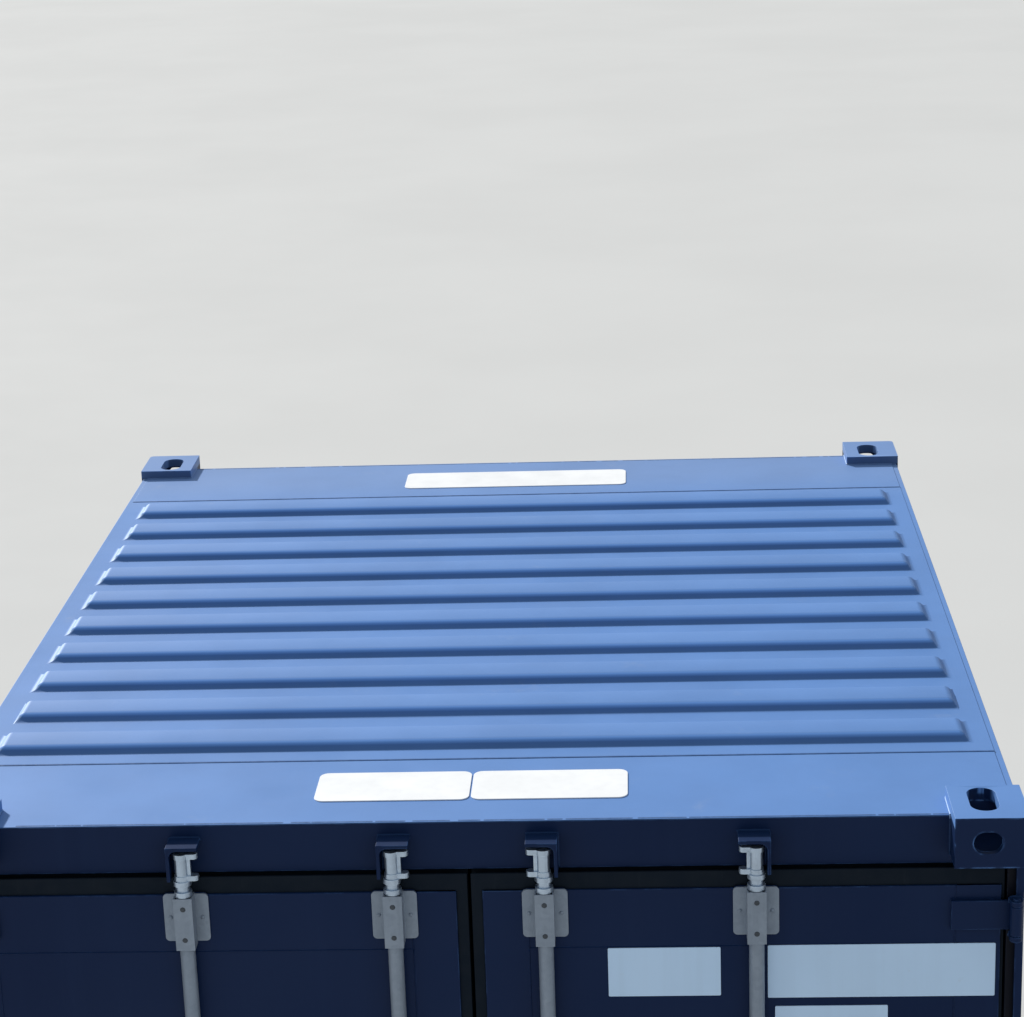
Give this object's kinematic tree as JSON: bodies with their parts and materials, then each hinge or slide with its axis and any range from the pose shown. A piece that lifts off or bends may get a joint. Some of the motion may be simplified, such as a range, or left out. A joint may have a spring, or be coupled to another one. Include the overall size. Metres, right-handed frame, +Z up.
{
  "type": "ten foot dry freight container",
  "caption": "Short steel freight container with hinged double doors, upright locking bars, a ribbed roof and corrugated walls.",
  "frame": {"origin": "on the ground, under the middle of the container", "axes": "+Z up, -Y towards the door end, +X to the right of someone facing the doors"},
  "size_m": [2.438, 2.991, 2.591],
  "materials": {
    "blue_paint": "satin",
    "galvanised": "matt, dipped in zinc",
    "seal_rubber": "matt",
    "plywood": "oiled"
  },
  "bodies": {
    "frame": {"top_fitting_door_left": "blue_paint", "top_fitting_door_right": "blue_paint", "top_fitting_front_left": "blue_paint", "top_fitting_front_right": "blue_paint", "bottom_fitting_door_left": "blue_paint", "bottom_fitting_door_right": "blue_paint", "bottom_fitting_front_left": "blue_paint", "bottom_fitting_front_right": "blue_paint", "door_post_left": "blue_paint", "door_post_right": "blue_paint", "front_post_left": "blue_paint", "front_post_right": "blue_paint", "top_rail_left": "blue_paint", "top_rail_right": "blue_paint", "bottom_rail_left": "blue_paint", "bottom_rail_right": "blue_paint", "door_header": "blue_paint", "door_sill": "blue_paint", "front_header": "blue_paint", "front_sill": "blue_paint", "roof_panels": "blue_paint", "roof_end_plates": "blue_paint", "side_wall_left": "blue_paint", "side_wall_right": "blue_paint", "front_wall": "blue_paint", "floor": "plywood", "cross_members": "blue_paint", "fork_pockets": "blue_paint", "cam_keepers": "blue_paint", "hinge_lugs": "blue_paint"},
    "left_door": {"door_frame_left": "blue_paint", "door_panel_left": "blue_paint", "door_seal_left": "seal_rubber", "hinge_blades_left": "blue_paint", "bar_guides_left": "galvanised"},
    "right_door": {"door_frame_right": "blue_paint", "door_panel_right": "blue_paint", "door_seal_right": "seal_rubber", "hinge_blades_right": "blue_paint", "bar_guides_right": "galvanised"},
    "left_outer_bar": {"bar_left_outer": "galvanised", "handle_left_outer": "galvanised"},
    "left_inner_bar": {"bar_left_inner": "galvanised", "handle_left_inner": "galvanised"},
    "right_inner_bar": {"bar_right_inner": "galvanised", "handle_right_inner": "galvanised"},
    "right_outer_bar": {"bar_right_outer": "galvanised", "handle_right_outer": "galvanised"}
  },
  "joints": [
    {"name": "left_door_hinge", "type": "hinge", "parent": "frame", "child": "left_door", "pos_m": [-1.196, -1.4755, 1.3], "axis": [0, 0, -1], "range_deg": [0, 255]},
    {"name": "right_door_hinge", "type": "hinge", "parent": "frame", "child": "right_door", "pos_m": [1.196, -1.4755, 1.3], "axis": [0, 0, 1], "range_deg": [0, 255]},
    {"name": "left_outer_bar_turn", "type": "hinge", "parent": "left_door", "child": "left_outer_bar", "pos_m": [-0.632, -1.4605, 1.3], "axis": [0, 0, -1], "range_deg": [-100, 0]},
    {"name": "left_inner_bar_turn", "type": "hinge", "parent": "left_door", "child": "left_inner_bar", "pos_m": [-0.167, -1.4605, 1.3], "axis": [0, 0, -1], "range_deg": [-100, 0]},
    {"name": "right_inner_bar_turn", "type": "hinge", "parent": "right_door", "child": "right_inner_bar", "pos_m": [0.167, -1.4605, 1.3], "axis": [0, 0, 1], "range_deg": [-100, 0]},
    {"name": "right_outer_bar_turn", "type": "hinge", "parent": "right_door", "child": "right_outer_bar", "pos_m": [0.632, -1.4605, 1.3], "axis": [0, 0, 1], "range_deg": [-100, 0]}
  ]
}
